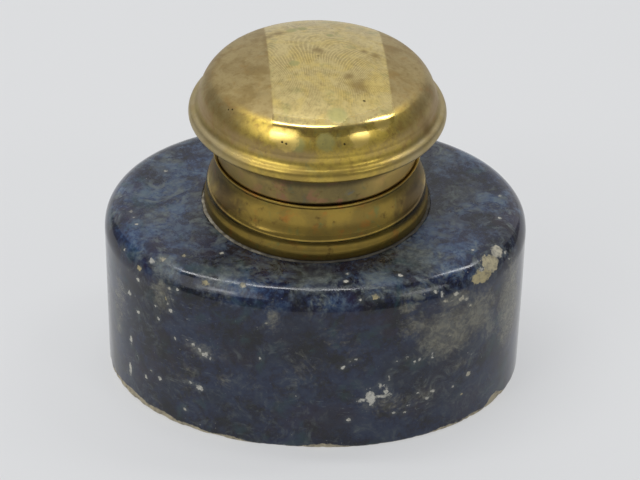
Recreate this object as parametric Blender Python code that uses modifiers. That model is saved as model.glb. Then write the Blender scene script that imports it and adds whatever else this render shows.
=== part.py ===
"""Oval stone inkwell that doubles as a paperweight, with a hinged domed brass lid.

The origin is the middle of the stone's underside, +Z is up and +Y is the hinge side.
Every size is in metres. The brass and the pot share one vertical axis, MOUNT_OFFSET behind
the middle of the stone.
"""

import math

import bmesh
import bpy
from mathutils import Vector

# Spaces between pieces
GAP = 0.0003  # between two pieces that touch
POT_CLEARANCE = 0.0004  # round the pot, which lifts out
PIN_CLEARANCE = 0.00005  # round the hinge pin

# Stone block
STONE_WIDTH = 0.1000
STONE_DEPTH = 0.0772
STONE_HEIGHT = 0.0438
STONE_FLOOR = 0.0085
OUTLINE_POWER = 2.10  # 2 is a true ellipse, more is squarer
SHOULDER_RADIUS = 0.0062
UNDERSIDE_ROUND = 0.0009
MOUNT_OFFSET = 0.00165

# Ink pot
POT_RADIUS = 0.0209
POT_WALL = 0.0022
POT_BASE = 0.0032
POT_RIM_WIDTH = 0.0013
POT_RIM_HEIGHT = 0.0018

# Sleeve that lines the mouth of the stone, and the plaster that holds it
SLEEVE_WALL = 0.0010
SLEEVE_DEPTH = 0.0119
PLASTER_WALL = 0.0020
PLASTER_LIP = 0.0006
PLASTER_SHOWING = 0.0006

# Collar
COLLAR_HEIGHT = 0.0134
COLLAR_WALL = 0.00145
FOOT_FLARE = 0.0024
FOOT_HEIGHT = 0.0033
BEAD_FLARE = 0.0016
BEAD_HEIGHT = 0.0022
STEP_FLARE = 0.00095
LIP_WIDTH = 0.00045
LIP_FLARE = 0.00015
LIP_HEIGHT = 0.0007

# Lid
SKIRT_WALL = 0.0008
SKIRT_HEIGHT = 0.0110
SHELL_WALL = 0.0009
DOME_OVERHANG = 0.0043
DOME_HEIGHT = 0.01425
DOME_POWER = 2.78
RIM_RADIUS = 0.0014
RIM_REACH = 0.0021
RIM_COVE = 0.0011

# Hinge
BARREL_RADIUS = 0.0019
BARREL_LENGTH = 0.0150
KNUCKLE_LENGTH = 0.0046
PIN_RADIUS = 0.00095
PIN_OVERHANG = 0.0006
LEAF_WALL = 0.0012
LEAF_HEIGHT = 0.0048

TURN_STEPS = 40
OUTLINE_STEPS = 56
BARREL_STEPS = 24

# Heights and radii that follow from the sizes above
SLEEVE_INNER = POT_RADIUS + POT_CLEARANCE
SLEEVE_OUTER = SLEEVE_INNER + SLEEVE_WALL
COLLAR_INNER = SLEEVE_OUTER + GAP
COLLAR_WAIST = COLLAR_INNER + COLLAR_WALL
COLLAR_BOTTOM = STONE_HEIGHT + GAP
COLLAR_TOP = COLLAR_BOTTOM + COLLAR_HEIGHT
LIP_OUTER = COLLAR_WAIST + LIP_FLARE
LIP_INNER = LIP_OUTER - LIP_WIDTH
LEDGE = COLLAR_TOP - LIP_HEIGHT
SLEEVE_TOP = LEDGE - POT_RIM_HEIGHT - 2 * POT_CLEARANCE
SLEEVE_BOTTOM = STONE_HEIGHT - SLEEVE_DEPTH
POT_BOTTOM = STONE_FLOOR + GAP
POT_LEDGE = SLEEVE_TOP + GAP
SKIRT_BOTTOM = LEDGE + GAP
SKIRT_OUTER = LIP_INNER - GAP
SKIRT_INNER = SKIRT_OUTER - SKIRT_WALL
SKIRT_TOP = SKIRT_BOTTOM + SKIRT_HEIGHT
DOME_RADIUS = SKIRT_OUTER + DOME_OVERHANG
RIM_CENTRE = SKIRT_TOP + RIM_RADIUS - SHELL_WALL
HINGE_Y = LIP_OUTER + GAP + BARREL_RADIUS
HINGE_Z = COLLAR_TOP
AXIS = Vector((0.0, MOUNT_OFFSET, 0.0))


def make_material(name, colour, roughness, metallic=0.0):
    material = bpy.data.materials.new(name)
    material.use_nodes = True
    shader = material.node_tree.nodes["Principled BSDF"]
    shader.inputs["Base Color"].default_value = (*colour, 1.0)
    shader.inputs["Roughness"].default_value = roughness
    shader.inputs["Metallic"].default_value = metallic
    material.diffuse_color = (*colour, 1.0)
    return material


def add_object(name, mesh, collection, material=None, place=AXIS):
    obj = bpy.data.objects.new(name, mesh)
    obj.location = place
    collection.objects.link(obj)
    if material is None:
        obj.hide_render = True
        obj.display_type = "WIRE"
    else:
        mesh.materials.append(material)
    return obj


def arc(centre_r, centre_z, radius, first, last, steps):
    """Points of an arc in the (radius, height) plane, with its angles in degrees."""
    points = []
    for step in range(steps + 1):
        angle = math.radians(first + (last - first) * step / steps)
        points.append((centre_r + radius * math.cos(angle), centre_z + radius * math.sin(angle)))
    return points


def turned(name, profile, collection, material=None, place=AXIS):
    """Screws a (radius, height) profile round Z. One that starts on the axis stays open."""
    mesh = bpy.data.meshes.new(name)
    edges = [(i, i + 1) for i in range(len(profile) - 1)]
    if profile[0][0] > 0.0:
        edges.append((len(profile) - 1, 0))
    mesh.from_pydata([(r, 0.0, z) for r, z in profile], edges, [])
    obj = add_object(name, mesh, collection, material, place)
    screw = obj.modifiers.new("Turn", "SCREW")
    screw.axis = "Z"
    screw.angle = math.tau
    screw.steps = TURN_STEPS
    screw.render_steps = TURN_STEPS
    screw.use_merge_vertices = True
    screw.merge_threshold = 0.000001
    screw.use_smooth_shade = True
    return obj


def block(name, low, high, collection, material=None, place=AXIS):
    """A box between two corners, both measured from the brass's axis."""
    mesh = bpy.data.meshes.new(name)
    shape = bmesh.new()
    bmesh.ops.create_cube(shape, size=1.0)
    low, high = Vector(low), Vector(high)
    bmesh.ops.scale(shape, vec=high - low, verts=shape.verts)
    bmesh.ops.translate(shape, vec=(high + low) / 2, verts=shape.verts)
    shape.to_mesh(mesh)
    shape.free()
    return add_object(name, mesh, collection, material, place)


def crossbar(name, radius, length, centre, collection, material=None):
    """A round bar along X, with its origin on the hinge's axis."""
    mesh = bpy.data.meshes.new(name)
    shape = bmesh.new()
    bmesh.ops.create_cone(
        shape, cap_ends=True, segments=BARREL_STEPS, radius1=radius, radius2=radius, depth=length
    )
    shape.to_mesh(mesh)
    shape.free()
    mesh.shade_smooth()
    mesh.set_sharp_from_angle(angle=math.radians(40))
    obj = add_object(name, mesh, collection, material, AXIS + Vector(centre))
    obj.rotation_euler = (0.0, math.radians(90), 0.0)
    return obj


def apply_boolean(obj, cutter, operation="DIFFERENCE"):
    boolean = obj.modifiers.new(cutter.name, "BOOLEAN")
    boolean.operation = operation
    boolean.solver = "EXACT"
    boolean.object = cutter


def add_bevel(obj, width, segments):
    bevel = obj.modifiers.new("Round", "BEVEL")
    bevel.width = width
    bevel.segments = segments
    bevel.limit_method = "ANGLE"
    bevel.angle_limit = math.radians(50)


def oval_point(angle):
    """The stone's outline: an ellipse a little squared at its corners."""
    x, y = math.cos(angle), math.sin(angle)
    power = 2.0 / OUTLINE_POWER
    return (
        math.copysign(abs(x) ** power, x) * STONE_WIDTH / 2,
        math.copysign(abs(y) ** power, y) * STONE_DEPTH / 2,
    )


def make_stone(parts, cutters, material):
    mesh = bpy.data.meshes.new("stone_body")
    shape = bmesh.new()
    bmesh.ops.create_cone(
        shape,
        cap_ends=True,
        segments=OUTLINE_STEPS,
        radius1=1.0,
        radius2=1.0,
        depth=STONE_HEIGHT,
    )
    weight = shape.edges.layers.float.new("bevel_weight_edge")
    for vert in shape.verts:
        vert.co.x, vert.co.y = oval_point(math.atan2(vert.co.y, vert.co.x))
        vert.co.z += STONE_HEIGHT / 2
    for edge in shape.edges:
        heights = [vert.co.z for vert in edge.verts]
        if min(heights) > STONE_HEIGHT / 2:
            edge[weight] = 1.0
        elif max(heights) < STONE_HEIGHT / 2:
            edge[weight] = UNDERSIDE_ROUND / SHOULDER_RADIUS
    shape.to_mesh(mesh)
    shape.free()
    mesh.shade_smooth()
    stone = add_object("stone_body", mesh, parts, material, Vector())
    bevel = stone.modifiers.new("Round", "BEVEL")
    bevel.width = SHOULDER_RADIUS
    bevel.segments = 5
    bevel.limit_method = "WEIGHT"

    # One stepped hole: the pot's bore, the plastered mouth and the shallow seat of the lip
    above = STONE_HEIGHT + 2 * PLASTER_LIP
    mouth = COLLAR_INNER + PLASTER_WALL + GAP
    seat = COLLAR_INNER + COLLAR_WALL + FOOT_FLARE + PLASTER_SHOWING + GAP
    hole = turned(
        "stone_hole",
        [
            (0.0, above),
            (seat, above),
            (seat, STONE_HEIGHT - PLASTER_LIP - GAP),
            (mouth, STONE_HEIGHT - PLASTER_LIP - GAP),
            (mouth, SLEEVE_BOTTOM - GAP),
            (SLEEVE_INNER, SLEEVE_BOTTOM - GAP),
            (SLEEVE_INNER, STONE_FLOOR),
            (0.0, STONE_FLOOR),
        ],
        cutters,
    )
    apply_boolean(stone, hole)


def make_plaster(parts, material):
    wall = COLLAR_INNER + PLASTER_WALL
    lip = COLLAR_INNER + COLLAR_WALL + FOOT_FLARE + PLASTER_SHOWING
    turned(
        "plaster_bed",
        [
            (COLLAR_INNER, STONE_HEIGHT),
            (lip, STONE_HEIGHT),
            (lip, STONE_HEIGHT - PLASTER_LIP),
            (wall, STONE_HEIGHT - PLASTER_LIP),
            (wall, SLEEVE_BOTTOM),
            (COLLAR_INNER, SLEEVE_BOTTOM),
        ],
        parts,
        material,
    )


def make_sleeve(parts, material):
    turned(
        "collar_sleeve",
        [
            (SLEEVE_INNER, SLEEVE_TOP),
            (SLEEVE_OUTER, SLEEVE_TOP),
            (SLEEVE_OUTER, SLEEVE_BOTTOM),
            (SLEEVE_INNER, SLEEVE_BOTTOM),
        ],
        parts,
        material,
    )


def make_collar(parts, material):
    """Plain foot band, bead, step, hollow waist and a thin raised lip round the lid's seat."""
    foot = COLLAR_WAIST + FOOT_FLARE
    foot_top = COLLAR_BOTTOM + FOOT_HEIGHT
    bead = COLLAR_WAIST + BEAD_FLARE
    bead_radius = BEAD_HEIGHT / 2
    step = foot_top + BEAD_HEIGHT
    profile = [(LIP_INNER, COLLAR_TOP), (LIP_OUTER - LIP_WIDTH / 3, COLLAR_TOP)]
    profile.append((LIP_OUTER, COLLAR_TOP - LIP_WIDTH / 2))
    waist_height = COLLAR_TOP - LIP_HEIGHT - step
    for part in (0.0, 0.3, 0.5, 0.7, 0.85, 1.0):
        hollow = STEP_FLARE * part**2.4
        profile.append((COLLAR_WAIST + hollow, COLLAR_TOP - LIP_HEIGHT - waist_height * part))
    profile += arc(bead - bead_radius, step - bead_radius, bead_radius, 75, -75, 4)
    profile.append((foot - 0.2 * FOOT_FLARE, foot_top))
    profile.append((foot, foot_top - 0.2 * FOOT_HEIGHT))
    profile.append((foot, COLLAR_BOTTOM))
    profile.append((COLLAR_INNER, COLLAR_BOTTOM))
    profile.append((COLLAR_INNER, LEDGE))
    profile.append((LIP_INNER, LEDGE))
    turned("collar_mount", profile, parts, material)


def make_pot(parts, material):
    """A plain round cup that hangs in the sleeve by its rim."""
    inner = POT_RADIUS - POT_WALL
    rim = POT_RADIUS + POT_RIM_WIDTH
    top = POT_LEDGE + POT_RIM_HEIGHT
    edge = POT_RIM_HEIGHT / 3
    corner = POT_WALL
    floor = POT_BOTTOM + POT_BASE
    profile = [(0.0, floor), (inner - corner, floor)]
    profile += arc(inner - corner, floor + corner, corner, -60, 0, 2)
    profile += [(inner, top - edge), (inner + edge, top), (rim - edge, top), (rim, top - edge)]
    profile += [(rim, POT_LEDGE), (POT_RADIUS, POT_LEDGE)]
    profile += arc(POT_RADIUS - corner, POT_BOTTOM + corner, corner, 0, -90, 3)
    profile.append((0.0, POT_BOTTOM))
    turned("ink_pot", profile, parts, material)


def dome_profile(radius, base, height, steps):
    """From the crown down to the dome's widest circle."""
    points = []
    for step in range(steps + 1):
        angle = math.pi / 2 * (1 - step / steps)
        across = math.cos(angle) ** (2 / DOME_POWER) if step else 0.0
        points.append((radius * across, base + height * math.sin(angle) ** (2 / DOME_POWER)))
    return points


def make_lid_dome(parts, material):
    """The spun shell: crown, cove and rolled rim outside, one even wall inside."""
    rim_centre = DOME_RADIUS + RIM_REACH - RIM_RADIUS
    crown = dome_profile(DOME_RADIUS, RIM_CENTRE, DOME_HEIGHT, 12)
    rim_top = RIM_CENTRE + RIM_RADIUS
    outside = [point for point in crown if point[1] > rim_top + RIM_COVE]
    outside += arc(DOME_RADIUS + RIM_COVE, rim_top + RIM_COVE, RIM_COVE, 190, 270, 3)
    outside += arc(rim_centre, RIM_CENTRE, RIM_RADIUS, 75, -90, 6)
    mouth = DOME_RADIUS - SHELL_WALL
    inside = dome_profile(mouth, RIM_CENTRE, DOME_HEIGHT - SHELL_WALL, 10)
    inside.append((mouth, RIM_CENTRE - RIM_RADIUS))
    turned("lid_dome", outside + inside[::-1], parts, material)


def make_lid_skirt(parts, material):
    """The band under the dome, with its flange inside the dome's mouth."""
    flange = DOME_RADIUS - SHELL_WALL - GAP
    turned(
        "lid_skirt",
        [
            (SKIRT_INNER, SKIRT_TOP),
            (flange, SKIRT_TOP),
            (flange, SKIRT_TOP - SKIRT_WALL),
            (SKIRT_OUTER, SKIRT_TOP - SKIRT_WALL),
            (SKIRT_OUTER, SKIRT_BOTTOM),
            (SKIRT_INNER, SKIRT_BOTTOM),
        ],
        parts,
        material,
    )


def make_collar_leaf(parts, cutters, material):
    """A pad behind the collar that carries the two outer knuckles."""
    half = BARREL_LENGTH / 2
    inside = COLLAR_WAIST + STEP_FLARE + GAP
    back = max(inside + LEAF_WALL, HINGE_Y + LEAF_WALL / 6)
    edge = math.sqrt(inside**2 - half**2)
    step = COLLAR_BOTTOM + FOOT_HEIGHT + BEAD_HEIGHT
    leaf = block(
        "collar_hinge_leaf",
        (-half, edge - GAP, step + GAP),
        (half, back, HINGE_Z),
        parts,
        material,
    )
    above = HINGE_Z + BARREL_RADIUS
    shape = turned(
        "collar_leaf_hollow",
        [(0.0, above), (inside, above), (inside, COLLAR_BOTTOM), (0.0, COLLAR_BOTTOM)],
        cutters,
    )
    apply_boolean(leaf, shape)
    centre = (0.0, HINGE_Y, HINGE_Z)
    apply_boolean(leaf, crossbar("collar_barrel", BARREL_RADIUS, BARREL_LENGTH, centre, cutters), "UNION")
    between = KNUCKLE_LENGTH / 2 + GAP
    reach = BARREL_RADIUS + GAP
    middle = block(
        "collar_knuckle_gap",
        (-between, HINGE_Y - 2 * reach, HINGE_Z - reach),
        (between, HINGE_Y + 2 * reach, HINGE_Z + reach),
        cutters,
    )
    apply_boolean(leaf, middle)
    bore = PIN_RADIUS + PIN_CLEARANCE
    apply_boolean(leaf, crossbar("collar_leaf_bore", bore, 2 * BARREL_LENGTH, centre, cutters))


def make_lid_leaf(parts, cutters, material):
    """A pad on the skirt with an arm down to the middle knuckle."""
    half = BARREL_LENGTH / 2
    inside = SKIRT_OUTER + GAP
    edge = math.sqrt(inside**2 - half**2)
    low = HINGE_Z + BARREL_RADIUS + 2 * GAP
    high = min(low + LEAF_HEIGHT, SKIRT_TOP - SKIRT_WALL - GAP)
    leaf = block(
        "lid_hinge_leaf", (-half, edge - GAP, low), (half, inside + LEAF_WALL, high), parts, material
    )
    arm = KNUCKLE_LENGTH / 2
    web = block(
        "lid_leaf_arm",
        (-arm, edge - GAP, HINGE_Z + BARREL_RADIUS / 2),
        (arm, HINGE_Y, (low + high) / 2 - LEAF_WALL / 2),
        cutters,
    )
    apply_boolean(leaf, web, "UNION")
    hollow = turned(
        "lid_leaf_hollow",
        [(0.0, SKIRT_TOP), (inside, SKIRT_TOP), (inside, COLLAR_BOTTOM), (0.0, COLLAR_BOTTOM)],
        cutters,
    )
    apply_boolean(leaf, hollow)
    centre = (0.0, HINGE_Y, HINGE_Z)
    apply_boolean(leaf, crossbar("lid_barrel", BARREL_RADIUS, KNUCKLE_LENGTH, centre, cutters), "UNION")
    bore = PIN_RADIUS + PIN_CLEARANCE
    apply_boolean(leaf, crossbar("lid_leaf_bore", bore, 2 * BARREL_LENGTH, centre, cutters))


def make_pin(parts, material):
    length = BARREL_LENGTH + 2 * PIN_OVERHANG
    pin = crossbar("hinge_pin", PIN_RADIUS, length, (0.0, HINGE_Y, HINGE_Z), parts, material)
    add_bevel(pin, PIN_RADIUS / 3, 2)


def main():
    for obj in list(bpy.data.objects):
        bpy.data.objects.remove(obj, do_unlink=True)
    parts = bpy.data.collections.new("stone_inkwell")
    cutters = bpy.data.collections.new("cutters")
    for collection in (parts, cutters):
        bpy.context.scene.collection.children.link(collection)

    stone = make_material("dyed_stone", (0.045, 0.060, 0.115), 0.25)
    plaster = make_material("plaster", (0.52, 0.50, 0.42), 0.9)
    collar_brass = make_material("collar_brass", (0.42, 0.30, 0.10), 0.3, 1.0)
    sleeve_brass = make_material("sleeve_brass", (0.33, 0.24, 0.09), 0.45, 1.0)
    dome_brass = make_material("dome_brass", (0.50, 0.37, 0.12), 0.25, 1.0)
    skirt_brass = make_material("skirt_brass", (0.33, 0.27, 0.14), 0.35, 1.0)
    hinge_brass = make_material("hinge_brass", (0.38, 0.28, 0.11), 0.4, 1.0)
    pin_brass = make_material("pin_brass", (0.45, 0.34, 0.14), 0.35, 1.0)
    porcelain = make_material("porcelain", (0.82, 0.81, 0.76), 0.12)

    make_stone(parts, cutters, stone)
    make_plaster(parts, plaster)
    make_sleeve(parts, sleeve_brass)
    make_collar(parts, collar_brass)
    make_pot(parts, porcelain)
    make_lid_dome(parts, dome_brass)
    make_lid_skirt(parts, skirt_brass)
    make_collar_leaf(parts, cutters, hinge_brass)
    make_lid_leaf(parts, cutters, hinge_brass)
    make_pin(parts, pin_brass)


main()
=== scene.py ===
import math

import bpy
import numpy as np
from mathutils import Matrix, Vector


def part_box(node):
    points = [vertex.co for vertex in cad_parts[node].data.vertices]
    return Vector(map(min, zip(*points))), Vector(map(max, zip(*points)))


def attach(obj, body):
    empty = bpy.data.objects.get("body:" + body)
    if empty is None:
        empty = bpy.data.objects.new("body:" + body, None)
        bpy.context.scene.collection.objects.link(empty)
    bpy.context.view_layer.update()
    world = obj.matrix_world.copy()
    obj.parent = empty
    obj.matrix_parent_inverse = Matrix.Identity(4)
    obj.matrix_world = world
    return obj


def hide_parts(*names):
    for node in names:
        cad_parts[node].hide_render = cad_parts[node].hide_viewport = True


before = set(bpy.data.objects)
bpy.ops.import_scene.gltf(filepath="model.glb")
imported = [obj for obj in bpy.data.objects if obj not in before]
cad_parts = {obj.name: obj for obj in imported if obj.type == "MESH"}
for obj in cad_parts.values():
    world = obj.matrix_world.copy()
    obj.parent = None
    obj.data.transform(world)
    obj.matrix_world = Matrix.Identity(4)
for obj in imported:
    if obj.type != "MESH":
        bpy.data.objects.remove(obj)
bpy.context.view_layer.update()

# Sizes below are in millimetres, and meshes are scaled to metres as they are made
metre = 0.001
collarLow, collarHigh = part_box("collar_mount")
axisY = (collarLow.y + collarHigh.y) / 2 / metre  # the brass and the pot turn about this line


# Shader helpers

class Wire:
    # One socket, with the arithmetic that the finishes use
    def __init__(self, finish, socket):
        self.finish = finish
        self.socket = socket

    def __add__(self, other):
        return self.finish.maths("ADD", self, other)

    def __sub__(self, other):
        return self.finish.maths("SUBTRACT", self, other)

    def __rsub__(self, other):
        return self.finish.maths("SUBTRACT", other, self)

    def __mul__(self, other):
        return self.finish.maths("MULTIPLY", self, other)

    __radd__ = __add__
    __rmul__ = __mul__


class Finish:
    # A material and the node calls that build it
    def __init__(self, name):
        self.material = bpy.data.materials.new(name)
        self.material.use_nodes = True
        self.tree = self.material.node_tree
        self.shader = self.tree.nodes["Principled BSDF"]
        coords = self.node("ShaderNodeTexCoord", output="Object")
        scaled = {0: coords, "Scale": 1 / metre}
        self.place = self.node("ShaderNodeVectorMath", {"operation": "SCALE"}, scaled)
        self.x, self.y, self.z = self.split(self.place)

    def feed(self, target, value):
        if isinstance(value, Wire):
            self.tree.links.new(value.socket, target)
        elif hasattr(target.default_value, "__len__"):
            size = len(target.default_value)
            target.default_value = tuple(value) + (1.0,) * (size - len(value))
        else:
            target.default_value = value

    def node(self, kind, settings=None, sockets=None, output=0):
        made = self.tree.nodes.new(kind)
        for key, value in (settings or {}).items():
            if key == "stops":
                self.setStops(made.color_ramp, value)
            else:
                setattr(made, key, value)
        for key, value in (sockets or {}).items():
            self.feed(made.inputs[key], value)
        return Wire(self, made.outputs[output])

    def setStops(self, ramp, stops):
        while len(ramp.elements) > len(stops):
            ramp.elements.remove(ramp.elements[-1])
        while len(ramp.elements) < len(stops):
            ramp.elements.new(1.0)
        for element, (place, colour) in zip(ramp.elements, stops):
            element.position = place
            element.color = (*colour, 1.0)

    def maths(self, operation, *values):
        return self.node("ShaderNodeMath", {"operation": operation}, dict(enumerate(values)))

    def split(self, vector):
        made = self.node("ShaderNodeSeparateXYZ", sockets={0: vector}).socket.node
        return [Wire(self, socket) for socket in made.outputs]

    def mix(self, first, second, amount):
        sockets = {0: amount, 6: first, 7: second}
        return self.node("ShaderNodeMix", {"data_type": "RGBA"}, sockets, output=2)

    def between(self, value, low, high, start=0.0, end=1.0):
        # Start where value is low, end where it is high, and a smooth step from one to the other
        settings = {"interpolation_type": "SMOOTHSTEP"}
        return self.node("ShaderNodeMapRange", settings, {0: value, 1: low, 2: high, 3: start, 4: end})

    def ramp(self, value, stops):
        return self.node("ShaderNodeValToRGB", {"stops": stops}, {0: value})

    def noise(self, size, seed, detail=3.0, rough=0.55, bend=0.0, place=None):
        sockets = {"Vector": place or self.place, "W": seed, "Scale": 1 / size, "Detail": detail,
                   "Roughness": rough, "Distortion": bend}
        return self.node("ShaderNodeTexNoise", {"noise_dimensions": "4D"}, sockets)

    def cells(self, size, seed, feature="F1", output="Distance"):
        settings = {"voronoi_dimensions": "4D", "feature": feature}
        sockets = {"Vector": self.place, "W": seed, "Scale": 1 / size}
        return self.node("ShaderNodeTexVoronoi", settings, sockets, output)

    def fromAxis(self):
        # Distance from the line that the brass and the pot turn about
        back = self.y - axisY
        return self.maths("SQRT", self.x * self.x + back * back)

    def painted(self, name):
        return self.node("ShaderNodeAttribute", {"attribute_name": name}, output="Fac")

    def specks(self, size, seed, share, width):
        # Small round dots in a share of the cells
        dots = 1 - self.between(self.cells(size, seed), width * 0.5, width)
        chance = self.split(self.cells(size, seed, output="Color"))[0]
        return dots * self.between(chance, 1 - share, 1 - share + 0.02)

    def relief(self, height, depth):
        # Depth is in millimetres for a height of 1
        sockets = {"Height": height, "Distance": depth * metre, "Strength": 1.0}
        return self.node("ShaderNodeBump", sockets=sockets)

    def wear(self, colour, roughness, metallic=0.0, normal=None, fixed=None):
        named = {"Base Color": colour, "Roughness": roughness, "Metallic": metallic, **(fixed or {})}
        for key, value in named.items():
            self.feed(self.shader.inputs[key], value)
        if normal:
            self.tree.links.new(normal.socket, self.shader.inputs["Normal"])
        return self.material


# Mesh helpers

def ripple(points, length, seed):
    # A smooth random swell, about -1 to 1, made of a few seeded plane waves
    waves = 7
    chance = np.random.default_rng(seed)
    total = np.zeros(len(points))
    for _ in range(waves):
        way = chance.normal(size=3)
        way /= np.linalg.norm(way)
        pitch = 2 * np.pi / length * chance.uniform(0.7, 1.5)
        total += np.sin(points @ way * pitch + chance.uniform(0.0, 2 * np.pi))
    return total / math.sqrt(waves)


def rounded(outline, closed=True, steps=5):
    # Each (radius, height, corner) point of an outline becomes a short arc of that corner radius
    done = []
    count = len(outline)
    for index, (r, z, corner) in enumerate(outline):
        here = np.array([r, z])
        if corner <= 0 or (not closed and index in (0, count - 1)):
            done.append(tuple(here))
            continue
        back = np.array(outline[index - 1][:2]) - here
        ahead = np.array(outline[(index + 1) % count][:2]) - here
        backLength, aheadLength = np.linalg.norm(back), np.linalg.norm(ahead)
        back, ahead = back / backLength, ahead / aheadLength
        half = math.acos(float(np.clip(back @ ahead, -1, 1))) / 2
        if half > 1.5:  # hardly a corner
            done.append(tuple(here))
            continue
        most = 0.48 * min(backLength, aheadLength)  # leaves room for the next corner's arc
        reach = min(corner / math.tan(half), most)
        bend = (back + ahead) / np.linalg.norm(back + ahead)
        centre = here + bend * reach / math.cos(half)
        start, end = here + back * reach - centre, here + ahead * reach - centre
        first = math.atan2(start[1], start[0])
        sweep = (math.atan2(end[1], end[0]) - first + math.pi) % (2 * math.pi) - math.pi
        size = np.linalg.norm(start)
        for k in range(steps + 1):
            turn = first + sweep * k / steps
            done.append((centre[0] + size * math.cos(turn), centre[1] + size * math.sin(turn)))
    return done


def spaced(profile, most, closed=True):
    # Adds points so that no straight run is longer than the given length
    done = []
    count = len(profile)
    for index in range(count if closed else count - 1):
        start = np.array(profile[index])
        end = np.array(profile[(index + 1) % count])
        parts = max(1, math.ceil(np.linalg.norm(end - start) / most))
        done += [tuple(start + (end - start) * k / parts) for k in range(parts)]
    if not closed:
        done.append(tuple(profile[-1]))
    return done


def turnedRings(profile, steps):
    turn = np.arange(steps) * 2 * np.pi / steps
    r, z = np.array(profile).T
    return np.stack([
        r[:, None] * np.cos(turn),
        axisY + r[:, None] * np.sin(turn),
        z[:, None] + 0 * turn,
    ], axis=2)


def ringFaces(rows, around, closed):
    # Faces down the rows of points. An open strip ends in a middle point at each end
    step = np.arange(around)
    after = (step + 1) % around
    faces = []
    for row in range(rows if closed else rows - 1):
        low = (row + 1) % rows
        quads = [row * around + step, low * around + step, low * around + after, row * around + after]
        faces += np.stack(quads, axis=1).tolist()
    if not closed:
        first, last = rows * around, (rows - 1) * around
        faces += [[first, int(a), int(b)] for a, b in zip(step, after)]
        faces += [[int(last + a), first + 1, int(last + b)] for a, b in zip(step, after)]
    return faces


def withEnds(points, around):
    # Adds the middle points that the faces of an open strip end in
    return np.vstack([points, points[:around].mean(axis=0), points[-around:].mean(axis=0)])


def addPiece(name, points, faces, material, sharp=35):
    mesh = bpy.data.meshes.new(name)
    mesh.from_pydata((np.asarray(points) * metre).tolist(), [], faces)
    mesh.materials.append(material)
    mesh.shade_smooth()
    mesh.set_sharp_from_angle(angle=math.radians(sharp))
    piece = bpy.data.objects.new(name, mesh)
    bpy.context.scene.collection.objects.link(piece)
    return piece


def standIn(piece, body, slotName, *nodes):
    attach(piece, body)
    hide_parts(*nodes)
    print("made", piece.name, len(piece.data.polygons), "faces")


def paint(piece, name, values):
    layer = piece.data.attributes.new(name, "FLOAT", "POINT")
    layer.data.foreach_set("value", np.asarray(values, np.float32))


spunSwell = 17.0  # from one faint hollow of hand-spun metal to the next


def turnedPiece(name, profile, material, steps, closed=True, swell=0.0, seed=1):
    points = turnedRings(profile, steps).reshape(-1, 3)
    if swell:
        way = points - [0, axisY, 0]
        way[:, 2] = 0
        way /= np.maximum(np.linalg.norm(way, axis=1), 1e-6)[:, None]
        points = points + way * (swell * ripple(points, spunSwell, seed))[:, None]
    if not closed:
        points = withEnds(points, steps)
    return addPiece(name, points, ringFaces(len(profile), steps, closed), material), points


# Stone block

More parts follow.
